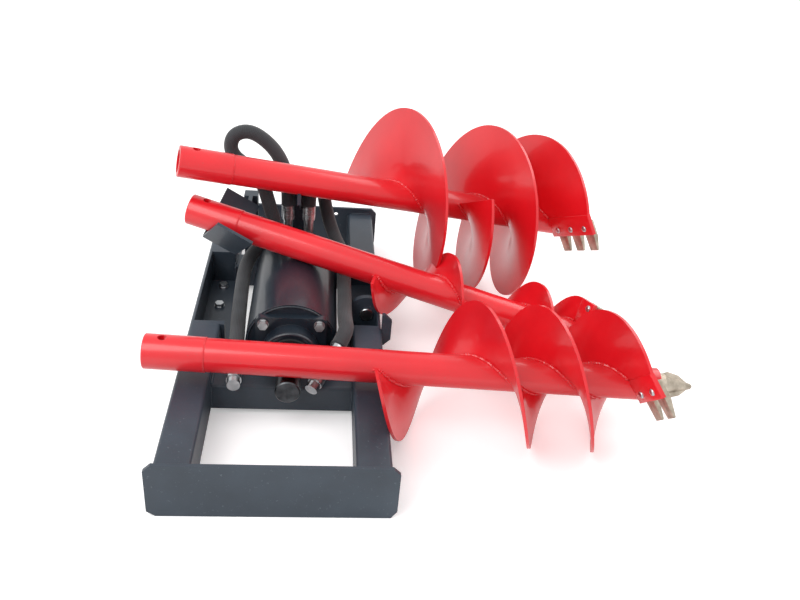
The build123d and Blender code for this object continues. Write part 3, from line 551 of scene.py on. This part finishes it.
class Spiral:
    """One auger's axis and flights, for the pieces that follow them."""

    def __init__(self, name):
        spec = AUGERS[name]
        mount = next(m for m in frame["record"]["mounts"] if m["name"] == f"{name}_hub_bore")
        self.along = -Vector(mount["axis"]).normalized()
        heading = math.radians(spec["heading"])
        self.across = Vector((-math.sin(heading), math.cos(heading), 0.0))
        self.up = self.along.cross(self.across).normalized()
        self.origin = Vector(mount["pos_m"]) - self.along * (spec["hub"] + BORE_TO_HUB_END)
        self.rim, self.hub, self.tip, self.end = spec["rim"], spec["hub"], spec["tip"], spec["point"]
        self.flights, self.teeth = spec["flights"], spec["teeth"]

    def on_axis(self, place):
        return self.origin + self.along * place

    def outward(self, turn):
        angle = 2 * math.pi * turn
        return self.across * math.cos(angle) + self.up * math.sin(angle)

    def around(self, turn):
        return self.outward(turn + 0.25)

    def point(self, flight, turn, radius, lift=0.0):
        """A point of a flight at a turn and radius, lifted along the axis."""
        return self.on_axis(flight[2] + flight[3] * turn + lift) + self.outward(turn) * radius

    def turns(self, flight, steps_a_turn):
        """Even turns from the flight's start to its end."""
        first, last = flight[:2]
        count = max(2, round((last - first) * steps_a_turn))
        return [first + (last - first) * index / count for index in range(count + 1)]

    def blade(self, flight):
        """The flight's spiral sheet, from inside the stem's skin to the rim."""
        radii = [FLIGHT_ROOT + (self.rim - FLIGHT_ROOT) * step / 6 for step in range(7)]
        lift = FLIGHT_THICKNESS / 2
        outline = [(radius, -lift) for radius in radii] + [(radius, lift) for radius in reversed(radii)]
        return loft([[self.point(flight, turn, *corner) for corner in outline]
                     for turn in self.turns(flight, 96)])

    def end_axes(self, flight):
        """Seat, outward, forward and normal of the plate that ends the flight."""
        outward = self.outward(flight[1])
        slope = self.along * flight[3] / (2 * math.pi) + self.around(flight[1]) * PLATE_SLOPE_RADIUS
        forward = slope.normalized()
        return self.point(flight, flight[1], STEM_RADIUS), outward, forward, forward.cross(outward)


class FinishSettings(bpy.types.PropertyGroup):
    """Colours of the three paints."""

    auger_red: bpy.props.StringProperty(
        name="Auger red", description="Enamel colour of the augers, as a hex value", default="#e81a26")
    frame_slate: bpy.props.StringProperty(
        name="Frame slate", description="Powder coat colour of the floor frame, as a hex value",
        default="#37434f")
    drive_navy: bpy.props.StringProperty(
        name="Drive navy", description="Enamel colour of the drive's housings, as a hex value",
        default="#1d2833")


class HoseSettings(bpy.types.PropertyGroup):
    """Sizes of the hydraulic hoses."""

    diameter: bpy.props.FloatProperty(
        name="Sleeve diameter", description="Outside diameter of the woven sleeve", default=0.042, min=0.02,
        unit="LENGTH")
    thread: bpy.props.FloatProperty(
        name="Thread width", description="Width of one woven thread bundle", default=0.0042, min=0.001,
        unit="LENGTH")


class WeldSettings(bpy.types.PropertyGroup):
    """Sizes of the weld beads."""

    flight_bead: bpy.props.FloatProperty(
        name="Flight bead", description="Radius of the bead between a flight and its stem", default=0.0045,
        min=0.001, unit="LENGTH")
    frame_bead: bpy.props.FloatProperty(
        name="Frame bead", description="Radius of the beads on the frame's joints", default=0.0035, min=0.001,
        unit="LENGTH")


class StageSettings(bpy.types.PropertyGroup):
    """Floor and light."""

    floor_size: bpy.props.FloatProperty(
        name="Floor size", description="Side of the square studio floor", default=40.0, min=4.0,
        unit="LENGTH")
    world_strength: bpy.props.FloatProperty(
        name="Ambient light", description="Strength of the even light from all round", default=0.75, min=0.0)
    floor_glow: bpy.props.FloatProperty(
        name="Floor glow", description="Light that the floor adds for the camera alone, to reach white",
        default=0.32, min=0.0)
    key_power: bpy.props.FloatProperty(
        name="Key lamp", description="Power of the large soft lamp above, to the left", default=70.0, min=0.0,
        unit="POWER")
    fill_power: bpy.props.FloatProperty(
        name="Fill lamp", description="Power of the soft lamp behind, to the right", default=35.0, min=0.0,
        unit="POWER")


class AUGER_OT_finishes(bpy.types.Operator):
    """Gives every CAD node the painted, turned, moulded or woven finish of its slot."""

    bl_idname = "auger.finishes"
    bl_label = "Finishes"

    def execute(self, context):
        made = finishes(context.scene.auger_finish)
        for entry in NODES:
            node = frame["nodes"][entry["node"]]
            material = made[entry["material_slot"]]
            if not node.material_slots:
                node.data.materials.append(material)
            for place in node.material_slots:
                place.material = material
        return {"FINISHED"}


class AUGER_OT_camera(bpy.types.Operator):
    """Sets the camera where the photograph was taken."""

    bl_idname = "auger.camera"
    bl_label = "Camera"

    def execute(self, context):
        data = bpy.data.cameras.new("photo_camera")
        data.sensor_fit = "HORIZONTAL"
        data.sensor_width = SENSOR_WIDTH
        data.lens = CAMERA_LENS
        data.clip_end = VIEW_DEPTH
        camera = bpy.data.objects.new("photo_camera", data)
        context.scene.collection.objects.link(camera)
        pitch, yaw, roll = (math.radians(v) for v in (CAMERA_PITCH, CAMERA_YAW, CAMERA_ROLL))
        forward = Vector((math.sin(yaw) * math.cos(pitch), math.cos(yaw) * math.cos(pitch), -math.sin(pitch)))
        right = Vector((math.cos(yaw), -math.sin(yaw), 0.0))
        up = right.cross(forward)
        turned_right = right * math.cos(roll) + up * math.sin(roll)
        turned_up = up * math.cos(roll) - right * math.sin(roll)
        turn = Matrix((turned_right, turned_up, -forward)).transposed().to_4x4()
        camera.matrix_world = Matrix.Translation(CAMERA_PLACE) @ turn
        context.scene.camera = camera
        return {"FINISHED"}


class AUGER_OT_hoses(bpy.types.Operator):
    """Lays the two sleeved hydraulic hoses along their routes."""

    bl_idname = "auger.hoses"
    bl_label = "Hoses"

    def execute(self, context):
        settings = context.scene.auger_hose
        material = bpy.data.materials["nylon_sleeve_woven"]
        for side, route in (("left", LEFT_ROUTE), ("right", RIGHT_ROUTE)):
            points = nurbs_points(route, f"{side}_hose_line")
            hose = tube(f"{side}_hose_sleeve", points, settings.diameter / 2, settings.thread, material)
            finish_piece(hose, "frame")
            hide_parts(f"{side}_hose")
        return {"FINISHED"}


class AUGER_OT_stems(bpy.types.Operator):
    """Builds each auger's round stem and its cast pilot point with two wings."""

    bl_idname = "auger.stems"
    bl_label = "Stems and pilot points"

    def execute(self, context):
        for name in AUGERS:
            spiral = Spiral(name)
            start = spiral.hub + HUB_LENGTH
            length = spiral.tip - start
            profile = ((0.0, STEM_RADIUS), (length - STEM_CHAMFER, STEM_RADIUS),
                       (length, STEM_RADIUS - STEM_CHAMFER))
            shape = turned_shape(profile, spiral.on_axis(start), spiral.along, 96)
            stem = merge(f"{name}_stem_tube", [shape], bpy.data.materials["red_enamel_sprayed"])
            finish_piece(stem, f"{name}_auger")
            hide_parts(f"{name}_stem")
            length = spiral.end - spiral.tip
            base = spiral.on_axis(spiral.tip)
            profile = PILOT_NECK + tuple((length + place, radius) for place, radius in PILOT_TIP)
            shapes = [turned_shape(profile, base, spiral.along, 32)]
            for turn in WING_TURNS:
                outward = spiral.outward(turn)
                shapes.append(bar_shape(base, outward, spiral.along, spiral.along.cross(outward),
                                        [(place, 0.0, reach, -half, half) for place, reach, half in WING]))
            pilot = merge(f"{name}_pilot_bit", shapes, bpy.data.materials["tooth_steel_cast"])
            finish_piece(pilot, f"{name}_auger")
            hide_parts(f"{name}_pilot_point")
        return {"FINISHED"}


class AUGER_OT_flights(bpy.types.Operator):
    """Winds each auger's two spiral flights about its stem and welds them on."""

    bl_idname = "auger.flights"
    bl_label = "Flights"

    def execute(self, context):
        radius = context.scene.auger_weld.flight_bead
        red = bpy.data.materials["red_enamel_sprayed"]
        for name in AUGERS:
            spiral = Spiral(name)
            blades = [spiral.blade(flight) for flight in spiral.flights]
            flights = merge(f"{name}_spiral_flights", blades, red)
            finish_piece(flights, f"{name}_auger")
            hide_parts(f"{name}_flights")
            shapes = []
            for flight in spiral.flights:
                for side in (-1, 1):
                    lift = side * (FLIGHT_THICKNESS * 0.75 + radius * TOP_LIFT)
                    run = [spiral.point(flight, turn, STEM_RADIUS + radius * TOP_LIFT, lift)
                           for turn in spiral.turns(flight, 144)]
                    shapes.append(bead_shape(run, radius))
            seam_centre = spiral.on_axis(spiral.hub + HUB_LENGTH)
            seam = circle(seam_centre, spiral.across, spiral.up, STEM_RADIUS, 96)
            shapes.append(bead_shape([*seam, seam[0]], HUB_BEAD))
            welds = merge(f"{name}_flight_welds", shapes, red)
            finish_piece(welds, f"{name}_auger")
        return {"FINISHED"}


class AUGER_OT_teeth(bpy.types.Operator):
    """Ends each flight with a flat plate and its row of bolted chisel teeth."""

    bl_idname = "auger.teeth"
    bl_label = "Tooth plates and teeth"

    def execute(self, context):
        for name in AUGERS:
            spiral = Spiral(name)
            reach = spiral.rim - STEM_RADIUS
            room = reach / spiral.teeth
            half = min(TOOTH_WIDTH, TOOTH_ROOM_SHARE * room) / 2
            under = -PLATE_THICKNESS / 2
            low = under - TOOTH_THICKNESS
            plates, teeth, bolts = [], [], []
            for flight in spiral.flights:
                axes = spiral.end_axes(flight)
                seat, outward, forward, normal = axes
                plates.append(bar_shape(*axes, ((-PLATE_LAP, 0.0, reach, under, -under),
                                                (PLATE_LENGTH, 0.0, reach, under, -under))))
                for number in range(spiral.teeth):
                    middle = (number + 0.5) * room
                    first, last = middle - half, middle + half
                    teeth.append(bar_shape(*axes, (
                        (TOOTH_START, first, last, low, under),
                        (TOOTH_START + TOOTH_LENGTH * TOOTH_STRAIGHT_SHARE, first, last, low, under),
                        (TOOTH_START + TOOTH_LENGTH, first + TOOTH_TIP_CUT, last - TOOTH_TIP_CUT,
                         under - TOOTH_THICKNESS * TOOTH_TIP_SHARE, under))))
                    centre = seat + outward * middle + forward * TOOTH_BOLT
                    for side, base in ((1, -under), (-1, low)):
                        bolts.append(turned_shape(BOLT_HEAD, centre + normal * base, normal * side, 20))
            pieces = (("end_plates", plates, "red_enamel_sprayed", "auger_paint", "tooth_plates"),
                      ("chisel_teeth", teeth, "tooth_steel_cast", "tooth_steel", "teeth"),
                      ("tooth_bolts", bolts, "zinc_plate_bright", "zinc_steel", None))
            for title, shapes, finish, slot_name, node in pieces:
                bevel = PLATE_ROUNDING if node else 0.0
                piece = merge(f"{name}_{title}", shapes, bpy.data.materials[finish], bevel)
                finish_piece(piece, f"{name}_auger")
                if node:
                    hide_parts(f"{name}_{node}")
        return {"FINISHED"}


class AUGER_OT_frame_welds(bpy.types.Operator):
    """Runs weld beads where cross-members, end plates and notch plates meet the rails."""

    bl_idname = "auger.frame_welds"
    bl_label = "Frame welds"

    def execute(self, context):
        radius = context.scene.auger_weld.frame_bead
        material = bpy.data.materials["slate_powder_coat_baked"]
        low_bar, high_bar = box_of("cross_members")
        low_rail, high_rail = box_of("right_rail")
        near_high = box_of("near_end_plate")[1]
        far_low = box_of("far_end_plate")[0]
        low_notch, high_notch = box_of("notch_plates")
        inner, outer = low_rail.x, high_rail.x
        shapes = []
        for side in (-1, 1):
            face = side * (inner - radius * WALL_LIFT)
            for start, end in ((low_bar.y, low_bar.y + BAR_WIDTH), (high_bar.y - BAR_WIDTH, high_bar.y)):
                top = high_bar.z + radius * TOP_LIFT
                shapes.append(straight_bead((face, start + BAR_END_ROOM, top),
                                            (face, end - BAR_END_ROOM, top), radius))
                for edge, away in ((start, -1), (end, 1)):
                    y = edge + away * radius * TOP_LIFT
                    shapes.append(straight_bead((face, y, low_bar.z + BAR_SIDE_ROOM),
                                                (face, y, top - BAR_SIDE_ROOM), radius))
            for y, away in ((near_high.y, 1), (far_low.y, -1)):
                weld_y = y + away * radius * WALL_LIFT
                top = high_rail.z + radius * TOP_LIFT
                shapes.append(straight_bead((side * (inner + RAIL_CORNER), weld_y, top),
                                            (side * (outer - RAIL_CORNER), weld_y, top), radius))
                for x in (inner - radius * TOP_LIFT, outer + radius * TOP_LIFT):
                    shapes.append(straight_bead((side * x, weld_y, low_rail.z + RAIL_CORNER),
                                                (side * x, weld_y, top - RAIL_CORNER), radius))
            wall = side * (outer - RAIL_WALL - radius * WALL_LIFT)
            for y in (low_notch.y + LEDGE_THICKNESS + radius * WALL_LIFT,
                      high_notch.y - CLOSER_WELD_INSET - radius * WALL_LIFT):
                shapes.append(straight_bead((wall, y, low_notch.z + NOTCH_FOOT_ROOM),
                                            (wall, y, high_notch.z - NOTCH_TOP_ROOM), radius))
        piece = merge("frame_welds", shapes, material)
        finish_piece(piece, "frame")
        return {"FINISHED"}


class AUGER_OT_drive_details(bpy.types.Operator):
    """Adds the shroud's seam bead, the ears' beads and the crimped rings of the hose ferrules."""

    bl_idname = "auger.drive_details"
    bl_label = "Drive details"

    def execute(self, context):
        radius = context.scene.auger_weld.frame_bead
        navy = bpy.data.materials["navy_enamel_sprayed"]
        low, high = box_of("shroud")
        middle = (low + high) / 2
        ring_radius = (high.x - low.x) / 2 - SHROUD_SEAM_INSET
        centre = Vector((middle.x, low.y - radius * SEAM_LIFT, middle.z))
        seam = circle(centre, Vector((1, 0, 0)), Vector((0, 0, 1)), ring_radius, 180)
        shapes = [bead_shape([*seam, seam[0]], radius * SEAM_SHARE)]
        ear_low, ear_high = box_of("hanger_ears")
        y = high.y + radius * EAR_LIFT
        for x in (ear_low.x, ear_low.x + EAR_THICKNESS, ear_high.x - EAR_THICKNESS, ear_high.x):
            shapes.append(straight_bead((x, y, ear_low.z + EAR_ROOM), (x, y, ear_high.z - EAR_ROOM), radius))
        piece = merge("drive_welds", shapes, navy)
        finish_piece(piece, "frame")
        zinc = bpy.data.materials["zinc_plate_bright"]
        top = box_of("port_fittings")[1].z
        rings = []
        for route in (LEFT_ROUTE, RIGHT_ROUTE):
            for number in range(CRIMP_COUNT):
                base = Vector((route[0][0], LEFT_ROUTE[0][1],
                               top - FERRULE_DEPTH + CRIMP_START + number * CRIMP_SPACING))
                rings.append(turned_shape(CRIMP, base, Vector((0, 0, 1))))
        piece = merge("ferrule_crimps", rings, zinc)
        finish_piece(piece, "frame")
        return {"FINISHED"}


class AUGER_OT_stage(bpy.types.Operator):
    """Lays the pale floor and sets the soft studio light."""

    bl_idname = "auger.stage"
    bl_label = "Studio stage"

    def execute(self, context):
        settings = context.scene.auger_stage
        half = settings.floor_size / 2
        corners = [(x * half, y * half, FLOOR_HEIGHT) for x, y in ((-1, -1), (1, -1), (1, 1), (-1, 1))]
        finish = studio_floor(settings.floor_glow)
        floor = piece_from("studio_floor", corners, [(0, 1, 2, 3)], finish, smooth=False)
        world = bpy.data.worlds.new("soft_studio")
        world.use_nodes = True
        tree = world.node_tree
        tree.nodes.clear()
        rays = add(tree, "ShaderNodeLightPath")
        seen = add(tree, "ShaderNodeMath",
                   {0: rays.outputs["Is Camera Ray"], 1: rays.outputs["Is Glossy Ray"]}, operation="MAXIMUM")
        strength = add(tree, "ShaderNodeMapRange", {"Value": seen.outputs["Value"],
                                                    "To Min": settings.world_strength, "To Max": 1.0})
        light = add(tree, "ShaderNodeBackground", {"Color": (1.0, 1.0, 1.0, 1.0),
                                                   "Strength": strength.outputs["Result"]})
        add(tree, "ShaderNodeOutputWorld", {"Surface": light.outputs["Background"]})
        context.scene.world = world
        lamps = (("key_lamp", settings.key_power, KEY_SIZE, KEY_PLACE),
                 ("fill_lamp", settings.fill_power, FILL_SIZE, FILL_PLACE))
        for name, power, size, place in lamps:
            data = bpy.data.lights.new(name, "AREA")
            data.energy = power
            data.size = size
            lamp = bpy.data.objects.new(name, data)
            context.scene.collection.objects.link(lamp)
            aim = Vector(LAMP_AIM) - Vector(place)
            turn = aim.to_track_quat("-Z", "Y").to_matrix().to_4x4()
            lamp.matrix_world = Matrix.Translation(place) @ turn
        context.scene.view_settings.view_transform = "Standard"
        return {"FINISHED"}


class AUGER_PT_panel(bpy.types.Panel):
    """Lists the pieces of the earth auger drive."""

    bl_idname = "AUGER_PT_panel"
    bl_label = "Earth Auger Drive"
    bl_space_type = "VIEW_3D"
    bl_region_type = "UI"
    bl_category = "Auger Drive"

    def draw(self, context):
        scene = context.scene
        for group in (scene.auger_finish, scene.auger_hose, scene.auger_weld, scene.auger_stage):
            box = self.layout.box()
            for name in group.bl_rna.properties.keys():
                if name not in ("rna_type", "name"):
                    box.prop(group, name)
        for operator in OPERATORS:
            self.layout.operator(operator.bl_idname)


GROUPS = (
    (FinishSettings, "auger_finish"),
    (HoseSettings, "auger_hose"),
    (WeldSettings, "auger_weld"),
    (StageSettings, "auger_stage"),
)
OPERATORS = (
    AUGER_OT_camera,
    AUGER_OT_finishes,
    AUGER_OT_hoses,
    AUGER_OT_stems,
    AUGER_OT_flights,
    AUGER_OT_teeth,
    AUGER_OT_frame_welds,
    AUGER_OT_drive_details,
    AUGER_OT_stage,
)


def register():
    for group, name in GROUPS:
        bpy.utils.register_class(group)
        setattr(bpy.types.Scene, name, bpy.props.PointerProperty(type=group))
    for operator in OPERATORS:
        bpy.utils.register_class(operator)
    bpy.utils.register_class(AUGER_PT_panel)


def unregister():
    bpy.utils.unregister_class(AUGER_PT_panel)
    for operator in reversed(OPERATORS):
        bpy.utils.unregister_class(operator)
    for group, name in reversed(GROUPS):
        delattr(bpy.types.Scene, name)
        bpy.utils.unregister_class(group)


def main():
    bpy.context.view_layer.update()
    register()
    bpy.ops.auger.camera()
    bpy.ops.auger.finishes()
    bpy.ops.auger.hoses()
    bpy.ops.auger.stems()
    bpy.ops.auger.flights()
    bpy.ops.auger.teeth()
    bpy.ops.auger.frame_welds()
    bpy.ops.auger.drive_details()
    bpy.ops.auger.stage()
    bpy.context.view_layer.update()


if __name__ == "__main__":
    main()
